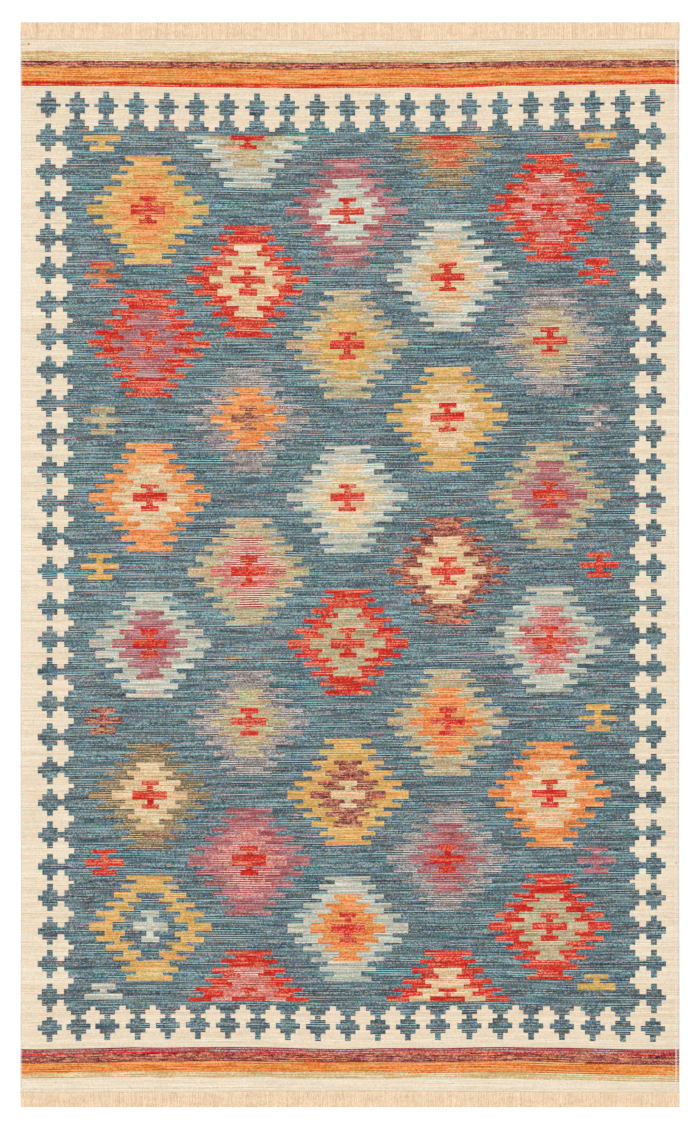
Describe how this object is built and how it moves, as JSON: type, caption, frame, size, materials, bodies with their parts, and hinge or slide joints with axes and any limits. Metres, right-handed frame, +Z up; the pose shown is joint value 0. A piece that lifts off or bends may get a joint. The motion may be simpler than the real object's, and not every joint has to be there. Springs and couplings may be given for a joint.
{
  "type": "washable kilim rug",
  "caption": "Flat-woven rectangular area rug with stepped diamond medallions, a star border and a cut fringe at both ends, lying flat to cover a floor.",
  "frame": {"origin": "centre of the underside, on the floor", "axes": "+X across the rug along the wefts, +Y along the rug to its far end (the top of the picture), +Z up out of the face"},
  "size_m": [1.524, 2.51, 0.003],
  "materials": {
    "kilim_weave": "matte weft-faced flat weave in mixed wool-like yarns",
    "fringe_yarn": "matte loose cotton yarn"
  },
  "bodies": {
    "root": {"kilim_cloth": "kilim_weave", "fringe_far_end": "fringe_yarn", "fringe_near_end": "fringe_yarn"}
  },
  "joints": []
}
